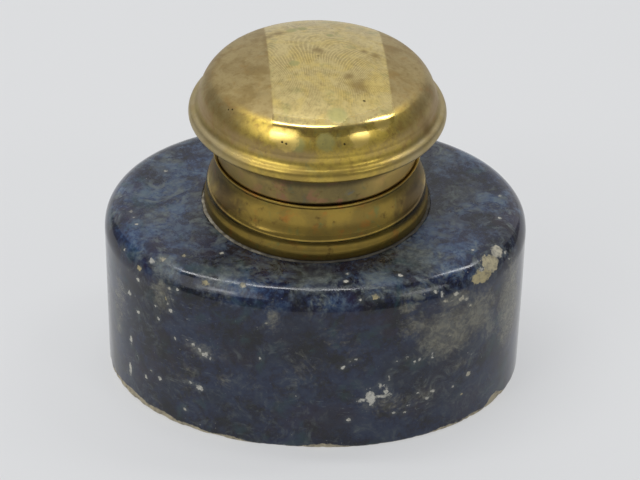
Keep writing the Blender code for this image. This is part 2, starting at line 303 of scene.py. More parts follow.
stoneBlock = {
    "power": 2.10,  # 2 is a true oval, more is squarer
    "shoulder": 6.2,
    "underside": 0.9,
    "seat": 26.95,
    "seatDepth": 0.9,
    "mouth": 24.9,
    "mouthFloor": 31.6,
    "bore": 21.3,
    "boreFloor": 8.5,
    "ease": 0.12,  # broken edge of the seat
    "frontSteps": 600,
    "backSteps": 220,
    "rowStep": 0.27,
    "topRings": 30,
    "shoulderRings": 36,
    "undersideRings": 8,
    "chipDent": 0.16,
    "groundSwell": 0.05,  # faint waves left by grinding by hand
    "edgeDent": 0.15,
    # chips on the front: across, height, half width, half height, yellowness
    "frontChips": [
        (-37.2, 42.4, 0.7, 0.5, 0.2), (-31.2, 39.5, 0.4, 0.3, 0.2), (-32.6, 36.5, 0.5, 0.35, 0.3),
        (-33.6, 34.5, 0.45, 0.3, 0.2), (-25.2, 23.6, 0.5, 0.5, 0.1), (-23.6, 23.0, 0.4, 0.5, 0.1),
        (-29.0, 26.4, 0.5, 0.25, 0.3), (32.2, 39.2, 0.6, 0.5, 0.4), (27.6, 40.9, 0.5, 0.3, 0.3),
        (36.2, 34.2, 0.5, 0.4, 0.5), (19.4, 24.2, 0.5, 0.3, 0.2), (9.6, 26.2, 0.5, 0.3, 0.3),
        (22.6, 10.6, 0.7, 0.25, 0.2), (26.4, 11.2, 0.6, 0.25, 0.2), (17.0, 17.6, 0.7, 0.3, 0.2),
        (-40.2, 40, 0.75, 0.75, 0.9), (-40.6, 37, 0.5, 0.4, 0.3), (-44.2, 41, 0.5, 0.4, 0.4),
        (-40.7, 27.5, 0.5, 0.4, 0.2), (-36, 29, 0.4, 0.45, 0.2), (-36.5, 32.5, 0.4, 0.4, 0.3),
        (-34, 36, 0.5, 0.45, 0.9), (-33, 33, 0.45, 0.4, 0.3), (-33, 39, 0.55, 0.45, 0.5),
        (-43, 31, 0.6, 0.7, 0.1), (-43, 17.5, 0.4, 1.2, 0.1), (-41.5, 13.5, 0.4, 0.5, 0.2),
        (-43.5, 8, 0.7, 1.8, 0.1), (-39.5, 9.5, 0.45, 0.5, 0.3), (-36, 11.5, 0.4, 0.5, 0.2),
        (-34, 12, 0.35, 0.4, 0.2), (-38, 12, 0.35, 0.4, 0.4), (-28.5, 14, 0.5, 0.45, 0.3),
        (-26, 13.5, 0.8, 0.7, 0.1), (-30, 5.5, 0.45, 0.4, 0.4), (-32, 25.5, 0.4, 0.4, 0.3),
        (-27.5, 25.5, 0.4, 0.5, 0.3), (-24.5, 24, 0.4, 0.8, 0.1), (-26, 24.5, 0.35, 0.7, 0.2),
        (-10.5, 36, 0.45, 0.35, 0.5), (-12, 25.5, 0.4, 0.4, 0.2), (-4, 15.5, 0.4, 0.35, 0.3),
        (-35, 43.2, 0.7, 0.35, 0.6), (-24.5, 42.3, 0.8, 0.35, 0.9), (-16, 43, 0.7, 0.3, 0.6),
        (10.5, 41.6, 0.5, 0.4, 0.4), (14, 41.8, 0.8, 0.4, 0.9), (29, 40.3, 0.35, 1.0, 0.1),
        (30.0, 38.5, 0.8, 0.5, 0.5), (31.5, 37.8, 0.6, 0.35, 0.4), (33.7, 37.5, 0.9, 0.6, 0.5),
        (35.0, 36.8, 0.6, 0.5, 0.4), (38.6, 40.5, 3.3, 1.7, 0.85), (40.4, 41.7, 3.0, 1.9, 0.7),
        (42.0, 42.6, 2.0, 1.3, 0.5),
        (38.4, 41.6, 1.2, 0.5, 0.3), (44, 41.7, 0.5, 0.4, 0.3), (45, 40, 0.4, 0.5, 0.3),
        (27.5, 24, 0.4, 0.9, 0.1), (24.5, 23.3, 0.4, 0.8, 0.1), (23.3, 23, 0.35, 0.5, 0.2),
        (21.5, 24.7, 0.4, 0.4, 0.3), (8.5, 25.5, 0.5, 0.4, 0.2), (7, 24, 0.45, 0.45, 0.2),
        (17.5, 20, 0.4, 0.8, 0.1), (15.5, 18, 0.4, 0.7, 0.2), (13.4, 14.9, 1.3, 1.7, 0.1),
        (13.9, 13.4, 0.7, 1.1, 0.1), (11.8, 14.0, 1.0, 0.5, 0.2), (15.6, 14.5, 1.5, 0.35, 0.1),
        (17.2, 16.0, 0.5, 0.9, 0.2), (17.8, 15, 0.5, 0.45, 0.2),
        (24.5, 13.5, 0.5, 0.45, 0.3), (28, 13, 0.45, 0.4, 0.3), (33, 12.5, 0.45, 0.4, 0.3),
        (36.5, 14, 0.8, 0.7, 0.5), (27, 9.5, 0.5, 0.4, 0.2), (21.5, 8.5, 0.5, 0.4, 0.3),
        (19, 9.2, 0.4, 0.4, 0.2), (8.5, 8.6, 0.45, 0.4, 0.3), (35.3, 8.8, 0.6, 0.5, 0.7),
    ],
    # chips on the top: across, back, half size, yellowness
    "topChips": [
        (-36.4, 11.6, 0.6, 0.1), (-44, -6, 0.5, 0.3), (-42.8, -11.5, 0.5, 0.4), (-45.4, -9, 0.45, 0.3),
        (-21.6, -22, 0.4, 0.4), (7.5, -29.2, 0.45, 0.2), (7.2, -32.3, 0.5, 0.3), (19.7, -30, 0.75, 0.1),
        (37, -19.4, 0.45, 0.3), (46, -6, 0.5, 0.3), (46, 4, 0.45, 0.3), (-30, -23, 0.5, 0.7),
    ],
    # soft pale clouds on the front: across, height, half width, half height, strength; the cloud at the far
    # right edge is partly painted sheen, for that edge's grazing reflection
    "frontCloudsAndSheen": [
        (32.5, 37.8, 4.5, 2.0, 1.3), (31, 29, 9, 8, 1.1), (38, 31, 7, 8, 0.85), (46, 27, 6, 14, 1.05),
        (24, 33, 6, 4, 0.6), (-35, 37, 4, 6, 0.6), (-26, 24.5, 5, 3, 0.6), (-30, 15, 5, 6, 0.35),
        (17, 12, 8, 4, 0.45), (26, 13, 6, 3, 0.4), (-46, 25, 4, 14, 0.5), (28.3, 31.3, 3, 2, 0.7),
        (33, 31.7, 3, 2, 0.7), (27, 25.7, 3, 2, 0.5),
        (41, 24.5, 3, 2.5, 0.6), (-34, 42.6, 5, 3, 0.9), (21.4, 39, 3, 1.6, 0.9), (-9, 37.5, 2.0, 5, 0.6),
        (22.4, 41.7, 9, 1.5, 0.6), (34.4, 18.8, 4, 3, 0.4), (-20.6, 17.5, 2.5, 2.5, 0.4),
        (-2, 24, 5, 7, 0.3), (6, 33, 5, 5, 0.3),
    ],
    # soft pale clouds on the top: across, back, size, strength
    "topClouds": [
        (-38, -8, 7, 0.5), (-33, 3, 6, 0.4), (-20, -30, 8, 0.6), (0, -31, 8, 0.7), (24, -22, 9, 0.7),
        (14, -31, 7, 0.6), (36, 4, 8, 0.45), (-36, 14, 7, 0.4), (30, 20, 8, 0.4), (-10, 33, 9, 0.4),
    ],
    # fine scratches: across, height, half width, half height
    "frontScuffs": [(26, 12, 12, 6), (-33, 16, 12, 9), (31, 37, 6, 5), (8, 12, 8, 6), (-30, 33, 7, 10)],
    # bare lower edge: across, half width, height; and the height everywhere else
    "bareEdge": [
        (3, 6, 1.5), (31.6, 4, 1.2), (43.5, 2.2, 2.9), (38, 4, 1.3), (-20, 6, 1.2), (-29, 6, 1.5),
        (-36, 6, 2.0), (-43, 7, 2.3),
    ],
    "bareRest": 0.35,
}


def makeStoneFinish():
    look = {
        "black": (0.0030, 0.0038, 0.0070), "navy": (0.008, 0.012, 0.040), "dye": (0.014, 0.029, 0.086),
        "slate": (0.042, 0.088, 0.190), "pale": (0.118, 0.170, 0.200), "plum": (0.030, 0.016, 0.040),
        "teal": (0.024, 0.066, 0.078), "wisp": (0.150, 0.178, 0.175), "olive": (0.270, 0.255, 0.185),
        "ash": (0.032, 0.044, 0.062), "mist": (0.175, 0.215, 0.205), "fog": (0.10, 0.115, 0.115),
        "cream": (0.60, 0.585, 0.52), "straw": (0.46, 0.39, 0.21), "raw": (0.46, 0.40, 0.27),
        "grimy": (0.22, 0.19, 0.14),
    }
    f = Finish("dyedStone")
    # marbling, bluer and paler towards the top: the paler top and shoulder are painted light, and the darker
    # sides painted shade
    cloud = f.noise(13.0, 1.3, 3.0, 0.5, 0.9)
    mottle = f.noise(4.2, 2.1, 6.0, 0.66, 0.7)
    grain = f.noise(1.1, 3.7, 6.0, 0.72, 0.4)
    tone = cloud * 0.38 + mottle * 0.34 + grain * 0.28
    paintedTopLight = f.between(f.z + (mottle - 0.5) * 4.0, 38.0, 43.2)
    slate = f.mix(look["ash"], look["slate"], paintedTopLight * 0.85 + 0.15)
    pale = f.mix(look["fog"], look["pale"], paintedTopLight)
    base = f.ramp(tone, [(0.43, look["black"]), (0.48, look["navy"]), (0.54, look["dye"])])
    base = f.mix(base, slate, f.between(tone, 0.49, 0.59) * (paintedTopLight * 0.55 + 0.45))
    base = f.mix(base, pale, f.between(tone, 0.54, 0.66) * (paintedTopLight * 0.42 + 0.4))
    base = f.mix(base, look["plum"], f.between(f.noise(9.0, 5.2, 3.0), 0.50, 0.64) * 0.42)
    murk = f.between(f.noise(16.0, 15.1, 2.0), 0.46, 0.62)
    base = f.mix(base, look["black"], murk * (0.45 - paintedTopLight * 0.15))
    base = f.mix(base, look["teal"], f.between(f.noise(7.5, 6.2, 4.0, 0.6, 0.8), 0.54, 0.70) * 0.60)
    streaky = f.noise(5.5, 9.4, 6.0, 0.68, 2.6)
    wisp = f.between(streaky, 0.47, 0.66) * f.between(f.noise(12.0, 4.1, 2.0), 0.42, 0.56)
    base = f.mix(base, look["wisp"], wisp * (0.42 + paintedTopLight * 0.28))
    rag = f.noise(0.9, 7.7, 5.0, 0.7)
    thread = f.between(f.noise(1.7, 4.4, 5.0, 0.7, 1.2), 0.42, 0.62)
    # painted shade: the sides darker than the top
    base = f.mix(base, look["black"], (1 - paintedTopLight) * 0.30)
    # pale haze, partly painted sheen at the far right edge of the front
    hazeAndSheen = f.between(f.painted("cloudy") + (rag - 0.5) * 0.9 + (streaky - 0.5) * 1.3, 0.10, 0.80)
    base = f.mix(base, f.mix(look["olive"], look["mist"], paintedTopLight * 0.8), hazeAndSheen * (0.30 + thread * 0.42))
    # dust, scratches and chips
    dusty = f.between(f.noise(6.0, 6.1, 3.0), 0.46, 0.60)
    fine = f.specks(0.9, 1.1, 0.26, 0.22) * dusty
    finer = f.specks(0.42, 2.1, 0.20, 0.28) * f.between(f.noise(4.0, 7.1), 0.46, 0.60)
    base = f.mix(base, look["wisp"], finer * 0.85)
    base = f.mix(base, look["cream"], fine * 0.46)
    flat = f.node("ShaderNodeVectorMath", {"operation": "MULTIPLY"}, {0: f.place, 1: (0.35, 0.35, 2.2)})
    scuffed = f.between(f.painted("scuffed") + (mottle - 0.5) * 1.5, 0.0, 0.7) * 0.9 + 0.1
    scuff = f.between(f.noise(1.0, 3.3, 5.0, 0.75, 0.5, flat), 0.57, 0.68) * scuffed
    base = f.mix(base, look["wisp"], scuff * 0.6)
    edge = (f.noise(0.62, 8.6, 4.0, 0.7, 0.6) - 0.5) * 1.7 + (f.noise(2.2, 9.6, 2.0) - 0.5) * 1.6
    near = f.painted("chipped")
    chip = f.between(near + edge * f.between(near, -1.2, -0.2), 0.0, 0.24)
    halo = f.between(near + edge * 0.6, -1.3, 0.3)
    chipColour = f.mix(look["cream"], look["straw"], f.between(f.painted("chipYellow"), 0.2, 0.9))
    chipColour = f.mix(chipColour, look["olive"], f.between(f.noise(0.35, 8.2, 2.0), 0.45, 0.75) * 0.5)
    base = f.mix(base, look["fog"], halo * 0.30)
    worn = f.between(f.noise(0.8, 8.9, 3.0), 0.36, 0.54, 0.62, 1.0)
    base = f.mix(base, chipColour, chip * worn)
    bare = f.between(f.painted("bare") + (rag - 0.5) * 0.8 + (mottle - 0.5) * 0.5, 0.40, 0.62)
    rawColour = f.mix(look["raw"], look["grimy"], f.between(f.noise(1.3, 2.9, 5.0, 0.65), 0.42, 0.66))
    base = f.mix(base, rawColour, bare)
    onTop = f.between(f.z, 43.3, 43.75)
    misty = f.between(grain * 0.5 + mottle * 0.5, 0.48, 0.64)
    inky = f.between(f.noise(5.0, 35.0, 4.0, 0.65, 0.8), 0.50, 0.64)
    base = f.mix(base, look["mist"], paintedTopLight * misty * 0.28)
    base = f.mix(base, look["navy"], paintedTopLight * inky * 0.38)
    rough = 0.09 + f.between(mottle, 0.45, 0.75) * 0.08 + wisp * 0.12 + onTop * 0.16
    rough = rough + hazeAndSheen * 0.16 + chip * 0.45 + halo * 0.1 + bare * 0.5 + fine * 0.2 + scuff * 0.2
    pits = f.specks(0.9, 5.5, 0.20, 0.16)
    height = f.noise(6.0, 8.8, 1.0) * 1.2 - chip * 0.45 - pits * 0.4 + grain * 0.10 - bare * rag * 1.5
    return f.wear(base, rough, normal=f.relief(height, 0.07), fixed={"IOR": 1.48})


def stoneOutline(around):
    # The oval's points and its true outward normals
    low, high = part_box("stone_body")
    halfX, halfY = (high.x - low.x) / 2 / metre, (high.y - low.y) / 2 / metre
    power = stoneBlock["power"]
    c, s = np.cos(around), np.sin(around)
    x = np.sign(c) * np.abs(c) ** (2 / power) * halfX
    y = np.sign(s) * np.abs(s) ** (2 / power) * halfY
    nx = np.sign(c) * np.abs(x / halfX) ** (power - 1) / halfX
    ny = np.sign(s) * np.abs(y / halfY) ** (power - 1) / halfY
    size = np.hypot(nx, ny)
    return np.stack([x, y], 1), np.stack([nx / size, ny / size], 1)


def markField(points, spots, sizes):
    # 1 at the middle of a mark, 0 at its edge, below 0 outside; also which mark is nearest
    best = np.full(len(points), -2.0)
    which = np.zeros(len(points), int)
    for index, (spot, (wide, tall)) in enumerate(zip(spots, sizes)):
        away = points - spot
        reach = 3 * max(wide, tall)
        near = np.flatnonzero((np.abs(away) < reach).all(axis=1))
        flat = np.hypot(away[near, 0], away[near, 1]) / wide
        value = 1 - np.hypot(flat, away[near, 2] / tall)
        better = value > best[near]
        best[near[better]] = value[better]
        which[near[better]] = index
    return best, which


def softField(points, clouds):
    # Each cloud's strength at its middle, fading to 0 a little past its size
    field = np.zeros(len(points))
    for spot, wide, tall, strength in clouds:
        away = points - spot
        gap = np.hypot(np.hypot(away[:, 0], away[:, 1]) / wide, away[:, 2] / tall)
        field = np.maximum(field, strength * np.clip(1.2 - gap, 0, 1))
    return field


def nearestPoint(skin, axis, across, other):
    # The point of the skin nearest to a place given across and along one more axis
    return skin[np.argmin((skin[:, 0] - across) ** 2 + (skin[:, axis] - other) ** 2)]


def makeStone():
    s = stoneBlock
    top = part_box("stone_body")[1].z / metre
    front = np.linspace(-np.pi, 0, s["frontSteps"], endpoint=False)
    back = np.linspace(0, np.pi, s["backSteps"], endpoint=False)
    around = np.concatenate([front, back])
    outline, normal = stoneOutline(around)
    inset = outline - s["shoulder"] * normal
    turn = np.arctan2(inset[:, 1] - axisY, inset[:, 0])
    compass = np.stack([np.cos(turn), np.sin(turn)], 1)
    rings = []

    def circle(radius, z):
        flat = radius * compass + [0, axisY]
        rings.append(np.column_stack([flat, np.full(len(flat), z)]))

    def wall(depth, z):
        flat = outline - depth * normal
        rings.append(np.column_stack([flat, np.full(len(flat), z)]))

    # from the bottom of the bore, up the mouth, over the top and down the side to the underneath
    for radius in np.linspace(1.0, s["bore"], 6):
        circle(radius, s["boreFloor"])
    for z in np.linspace(s["boreFloor"], s["mouthFloor"], 8)[1:]:
        circle(s["bore"], z)
    circle(s["mouth"], s["mouthFloor"])
    for z in np.linspace(s["mouthFloor"], top - s["seatDepth"], 4)[1:]:
        circle(s["mouth"], z)
    circle(s["seat"], top - s["seatDepth"])
    circle(s["seat"], top - s["ease"])
    topFirst = len(rings)
    for part in np.linspace(0, 1, s["topRings"]) ** 1.15:
        flat = (s["seat"] + s["ease"]) * compass + [0, axisY]
        flat = flat + (inset - flat) * part
        rings.append(np.column_stack([flat, np.full(len(flat), top)]))
    for angle in np.radians(np.linspace(90, 0, s["shoulderRings"]))[1:]:
        wall(s["shoulder"] * (1 - math.cos(angle)), top - s["shoulder"] * (1 - math.sin(angle)))
    sideHeight = top - s["shoulder"] - s["underside"]
    rowCount = int(sideHeight / s["rowStep"])
    for z in np.linspace(top - s["shoulder"], s["underside"], rowCount)[1:]:
        wall(0, z)
    for angle in np.radians(np.linspace(0, 90, s["undersideRings"]))[1:]:
        wall(s["underside"] * (1 - math.cos(angle)), s["underside"] * (1 - math.sin(angle)))
    lastOuter = len(rings)
    for part in (0.12, 0.4, 0.7, 0.95):
        flat = (outline - s["underside"] * normal) * (1 - part)
        rings.append(np.column_stack([flat, np.zeros(len(flat))]))

    rings = np.array(rings)
    rows, count = rings.shape[:2]
    points = rings.reshape(-1, 3)
    rowOf = np.repeat(np.arange(rows), count)
    outer = (rowOf >= topFirst) & (rowOf < lastOuter)
    flatTop = outer & (rowOf < topFirst + s["topRings"])

    # marks, each on the nearest point of the skin
    backAxis, upAxis = 1, 2
    frontSkin, topSkin = points[outer & ~flatTop & (points[:, 1] < 2)], points[flatTop]
    spots = [nearestPoint(frontSkin, upAxis, *chip[:2]) for chip in s["frontChips"]]
    spots += [nearestPoint(topSkin, backAxis, *chip[:2]) for chip in s["topChips"]]
    sizes = [(wide, tall) for x, z, wide, tall, yellow in s["frontChips"]]
    sizes += [(size, size) for x, y, size, yellow in s["topChips"]]
    chipped, which = markField(points, spots, sizes)
    yellow = np.array([chip[-1] for chip in s["frontChips"] + s["topChips"]])[which]
    chipDepth = chipped * np.array(sizes).min(axis=1)[which]  # the field in millimetres

    clouds = [(nearestPoint(frontSkin, upAxis, *cloud[:2]), *cloud[2:]) for cloud in s["frontCloudsAndSheen"]]
    clouds += [(nearestPoint(topSkin, backAxis, x, y), size, size, share)
               for x, y, size, share in s["topClouds"]]
    scuffs = [(nearestPoint(frontSkin, upAxis, *scuff[:2]), *scuff[2:], 1.0) for scuff in s["frontScuffs"]]
    cloudy, scuffed = softField(points, clouds), softField(points, scuffs)

    tall = np.full(len(points), s["bareRest"])
    for x, wide, height in s["bareEdge"]:
        tall = np.maximum(tall, height * np.exp(-((points[:, 0] - x) / wide) ** 2))
    tall = np.where(points[:, 1] > 0, 0.7 + 0.5 * ripple(points * [1, 1, 0], 14.0, 9), tall)
    bare = np.clip(0.5 + (tall - points[:, 2]) / 1.4, 0, 1)
    bare[~outer] = 1.0

    # the chips are shallow hollows and the skin has a faint hand-ground swell
    centre = np.column_stack([points[:, 0] * 0.6, points[:, 1] * 0.6, np.full(len(points), top / 2)])
    inward = centre - points
    inward /= np.linalg.norm(inward, axis=1)[:, None]
    dent = s["chipDent"] * np.clip(chipped * 1.2, 0, 1) + s["groundSwell"] * ripple(points, 27.0, 5)
    dent += bare * (points[:, 2] < 4) * s["edgeDent"] * np.clip(ripple(points, 3.0, 6), -0.2, 1)
    points = withEnds(points + inward * (dent * outer * (points[:, 2] > 0.02))[:, None], count)

    piece = addPiece("stoneBlock", points, ringFaces(rows, count, False), makeStoneFinish(), 50)
    painted = {"chipped": (chipDepth, -2), "chipYellow": (yellow, 0), "cloudy": (cloudy, 0),
               "scuffed": (scuffed, 0), "bare": (bare, 1)}
    for name, (values, atEnds) in painted.items():
        paint(piece, name, np.append(values, [atEnds, atEnds]))
    standIn(piece, "base", "dyed_stone", "stone_body")


makeStone()


# Plaster bed

plasterBed = {
    "inner": 22.7, "foot": 26.35, "lip": 26.95, "wall": 24.6, "bottom": 31.9, "lift": 0.13, "lipDepth": 0.6,
    "round": 0.1, "steps": 360,
}


def makePlasterFinish():
    look = {"hollow": (0.10, 0.09, 0.06), "body": (0.28, 0.25, 0.19), "crest": (0.50, 0.46, 0.36),
            "dirt": (0.055, 0.050, 0.040)}
    f = Finish("agedPlaster")
    lumps = f.noise(1.2, 1.9, 4.0, 0.6)
    colour = f.ramp(lumps, [(0.3, look["hollow"]), (0.48, look["body"]), (0.7, look["crest"])])
    dirt = f.between(f.x + (f.noise(3.7, 3.1, 4.0) - 0.5) * 30.0, -20.0, -4.0, 0.15, 1.0)
    colour = f.mix(colour, look["dirt"], dirt * 0.85)
    return f.wear(colour, 0.8 + lumps * 0.2, normal=f.relief(lumps + f.noise(0.3, 5.5) * 0.4, 0.12))


def makePlaster():
    s = plasterBed
    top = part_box("stone_body")[1].z / metre
    bend, under = s["round"], top - s["lipDepth"]
    profile = rounded([
        (s["inner"], top + 0.05, 0), (s["foot"] - 0.2, top + s["lift"], bend),
        (s["foot"] + 0.2, top + s["lift"], bend), (s["lip"], top + 0.02, bend),
        (s["lip"] - 0.1, under, bend), (s["wall"], under, bend),
        (s["wall"], s["bottom"], bend), (s["inner"], s["bottom"], bend),
    ])
    rings = turnedRings(spaced(profile, 0.5), s["steps"])
    points = rings.reshape(-1, 3)
    flat = points[:, :2] - [0, axisY]
    radius = np.linalg.norm(flat, axis=1)
    # the squeezed-out edge is ragged
    edge = (points[:, 2] > top - 0.3) & (radius > s["foot"] - 0.1)
    ragged = 0.28 * ripple(points, 9.0, 11) + 0.16 * ripple(points, 2.6, 12)
    growth = np.where(edge, 0.6 * np.clip(ragged, -0.35, 0.40), 0)
    points[:, :2] += flat / radius[:, None] * growth[:, None]
    points[:, 2] += np.where(edge & (points[:, 2] > top + 0.04), 0.10 * ripple(points, 3.0, 13), 0)
    piece = addPiece("plasterRing", points, ringFaces(len(rings), s["steps"], True), makePlasterFinish(), 60)
    standIn(piece, "base", "plaster", "plaster_bed")


makePlaster()


# Brass finishes

def brassGround(f, look, seed, patchSize):
    # Worn brass: bright metal clouded by dull tarnish, with brown and green spots
    broad = f.noise(patchSize * 2.2, seed, 3.0, 0.5, 0.5)
    patch = f.noise(patchSize, seed + 1.7, 4.0, 0.6, 0.6)
    fine = f.noise(0.6, seed + 3.1, 4.0, 0.65)
    dulled = f.between(broad * 0.5 + patch * 0.4 + fine * 0.1, 0.40, 0.62)
    browned = f.between(f.noise(patchSize * 0.7, seed + 5.3, 5.0, 0.65), 0.55, 0.72)
    greened = f.between(f.noise(patchSize * 0.9, seed + 7.9, 5.0, 0.6, 0.8), 0.57, 0.70)
    dots = f.specks(1.6, seed + 2.2, 0.16, 0.17)
    colour = f.mix(look["bright"], look["dull"], dulled)
    colour = f.mix(colour, look["brown"], browned * 0.68)
    colour = f.mix(colour, look["green"], greened * 0.55)
    colour = f.mix(colour, look["brown"], dots * 0.8)
    return colour, patch, fine, browned, dots, broad


domeMarks = {
    # across, back, height, half size
    "browned": [
        (0, 4, 82.8, 2.2), (13, 4.2, 82.2, 2.0), (10.5, 5.2, 82.5, 1.5), (24.7, -10.7, 71.6, 3.4),
        (-9.5, 14.7, 81.6, 2.4), (-12, 13, 81.4, 2.0), (9.5, -9, 82, 3.6), (7, -6, 82.5, 2.0),
    ],
    "greened": [
        (-5.5, -1.4, 82.8, 1.5), (2.6, 12.4, 82.4, 1.1), (-6.3, 16.1, 81.7, 1.8), (-4, 17, 81.6, 1.6),
        (4.5, -18.4, 80, 3.0), (2, -24.2, 76, 2.8), (-4, -24.5, 75, 2.2),
    ],
    # painted highlights: bright gold patches where the lamps glint on the front flank
    "gilded": [
        (-6.8, -23.6, 75.8, 3.0), (9.6, -22.4, 76.2, 2.8), (14.5, -18.5, 78, 2.4), (-9, -22.6, 76.5, 2.2),
    ],
    "pitted": [
        (10.6, -13.5, 81, 0.45), (-7.7, -23.6, 75.4, 0.40), (-6.6, -23.9, 75.2, 0.35),
        (6.3, -24, 75.4, 0.40), (-19, -14, 77.6, 0.35), (-20, -13.5, 77.2, 0.3),
    ],
}


def makeDomeFinish():
    look = {
        "bright": (0.74, 0.540, 0.105), "dull": (0.50, 0.370, 0.085), "brown": (0.20, 0.125, 0.04),
        "green": (0.36, 0.36, 0.15), "polished": (0.68, 0.55, 0.245), "tan": (0.39, 0.305, 0.155),
        "umber": (0.315, 0.245, 0.082), "rose": (0.40, 0.285, 0.15), "glintGold": (0.92, 0.68, 0.20),
        "pit": (0.06, 0.045, 0.02), "rust": (0.33, 0.19, 0.06), "rim": (0.46, 0.38, 0.215),
        "rimGold": (0.40, 0.285, 0.075), "lining": (0.30, 0.225, 0.085), "liningDark": (0.15, 0.105, 0.045),
        "stripeLeft": -11.3, "stripeRight": 15.6, "lean": 0.083, "topEdge": 23.3, "ridgePitch": 0.62,
    }
    f = Finish("domeBrass")
    colour, patch, fine, browned, dots, broad = brassGround(f, look, 2.0, 5.0)
    ragged = (f.noise(1.4, 5.0, 4.0, 0.7) - 0.5) * 1.6
    u = f.x + (f.y - axisY) * look["lean"] + ragged * 0.35
    out = f.fromAxis()
    # a lacquered stripe over the top, tan tarnish beside it and polished metal on the front flank
    facing = 1 - f.between(f.maths("ABSOLUTE", f.x - 1.5) + ragged * 2.0, 14.0, 22.0)
    facing = facing * (1 - f.between(f.y, -6.0, 2.0))
    lower = f.between(out + ragged * 0.9, look["topEdge"] - 0.8, look["topEdge"] + 1.2)
    onTop = 1 - lower * facing
    inStripe = f.between(u, look["stripeLeft"] - 0.3, look["stripeLeft"] + 0.3) * (1 - lower)
    inStripe = inStripe * (1 - f.between(u, look["stripeRight"] - 0.3, look["stripeRight"] + 0.3))
    tanned = f.mix(look["umber"], look["tan"], f.between(f.z + ragged, 70.0, 79.5))
    tanned = f.mix(tanned, look["brown"], f.between(patch, 0.44, 0.64) * 0.5)
    tanned = f.mix(tanned, look["rust"], f.between(f.noise(3.1, 27.0, 5.0, 0.7, 0.5), 0.52, 0.66) * 0.35)
    edging = f.between(out + ragged * 1.5, 22.0, 28.0) * f.between(f.noise(6.0, 29.0, 4.0, 0.65), 0.44, 0.60)
    tanned = f.mix(tanned, look["brown"], edging * 0.45)
    colour = f.mix(colour, tanned, onTop * 0.88)
    polished = f.mix(look["polished"], look["bright"], f.between(patch, 0.42, 0.66) * 0.38)
    polished = f.mix(polished, look["green"], f.between(f.noise(4.5, 23.0, 4.0, 0.6, 0.7), 0.54, 0.68) * 0.45)
    polished = f.mix(polished, look["brown"], dots * 0.5 + browned * 0.25)
    colour = f.mix(colour, polished, inStripe)
    # fingerprint-like ridges left in the lacquer
    swirl = (f.noise(15.0, 8.0, 1.0) - 0.5) * 6.0
    bow = (f.y + 3.0) * (f.y + 3.0) * -0.012 - f.x * f.y * 0.06 + swirl
    ridge = f.maths("SINE", (f.x + bow) * (2 * math.pi / look["ridgePitch"]))
    ridge = f.between(ridge + (fine - 0.5) * 3.4, -0.4, 1.1)
    faint = f.between(f.noise(2.6, 12.0, 4.0), 0.34, 0.60)
    ridged = faint * (1 - f.between(out, 19.5, 22.5)) * (inStripe * 0.72 + 0.28)
    colour = f.mix(colour, look["brown"], (1 - ridge) * ridged * 0.36)
    grit = f.noise(0.9, 17.0, 5.0, 0.75)
    colour = f.mix(colour, look["brown"], f.between(grit, 0.47, 0.68) * 0.34)
    colour = f.mix(colour, look["rust"], f.between(f.noise(2.4, 19.0, 5.0, 0.7), 0.48, 0.64) * lower * 0.52)
    rim = f.between(out + ragged * 0.3, 27.7, 28.7)
    # painted sheen: the rim paler at its left and right than at its front
    rimSideSheen = f.between(f.maths("ABSOLUTE", f.x) + ragged * 3, 12.0, 24.0)
    rimColourAndSheen = f.mix(look["rimGold"], look["rim"], rimSideSheen)
    colour = f.mix(colour, rimColourAndSheen, rim * f.between(patch, 0.40, 0.60, 0.45, 0.85))
    roseBand = f.between(f.z, 70.8, 72.4) * (1 - f.between(f.z, 73.4, 75.2))
    colour = f.mix(colour, look["rose"], roseBand * f.between(broad + fine * 0.3, 0.45, 0.75) * 0.7)
    # single marks
    smudge = f.between(f.painted("browned") + ragged * 0.5, 0.0, 0.9)
    verdigris = f.between(f.painted("greened") + ragged * 0.45, 0.0, 0.5)
    gilded = f.between(f.painted("gilded") + ragged * 0.6, 0.0, 0.35)
    pit = f.between(f.painted("pitted") + ragged * 0.6, 0.1, 0.5)
    colour = f.mix(colour, look["brown"], smudge * 0.62)
    colour = f.mix(colour, look["green"], verdigris * 0.65)
    # painted highlights where the lamps glint
    colour = f.mix(colour, look["glintGold"], gilded * 0.75)
    colour = f.mix(colour, look["pit"], pit)
    # the stripe's front end is smooth and glints
    waxed = f.between(out, 20.8, 22.4) * (1 - f.between(out, 24.8, 26.0)) * (1 - f.between(f.y, -4.0, 0.0))
    waxed = waxed * f.between(u, look["stripeLeft"] - 1.6, look["stripeLeft"] + 0.6)
    waxed = waxed * (1 - f.between(u, look["stripeRight"] - 0.4, look["stripeRight"] + 0.8))
    rough = 0.26 + patch * 0.14 + onTop * 0.09 - inStripe * 0.15 + browned * 0.08 + dots * 0.1
    rough = rough + roseBand * 0.05 + fine * 0.05 + verdigris * 0.12 + smudge * 0.08
    rough = rough + pit * 0.4 - gilded * 0.06
    rough = f.between(waxed, 0.0, 1.0, rough, 0.14 + verdigris * 0.3)
    # the inside was never polished
    lining = f.painted("lining")
    drab = f.mix(look["lining"], look["liningDark"], f.between(broad * 0.5 + patch * 0.5, 0.40, 0.62))
    colour = f.mix(colour, drab, lining)
    rough = f.between(lining, 0.0, 1.0, rough, 0.30 + patch * 0.2)
    height = ridge * ridged * (1 - lining) * 0.35 + fine * 0.14 + patch * 0.35 - dots * 0.6 - pit * 2.0
    return f.wear(colour, rough, 1.0, f.relief(height, 0.022))


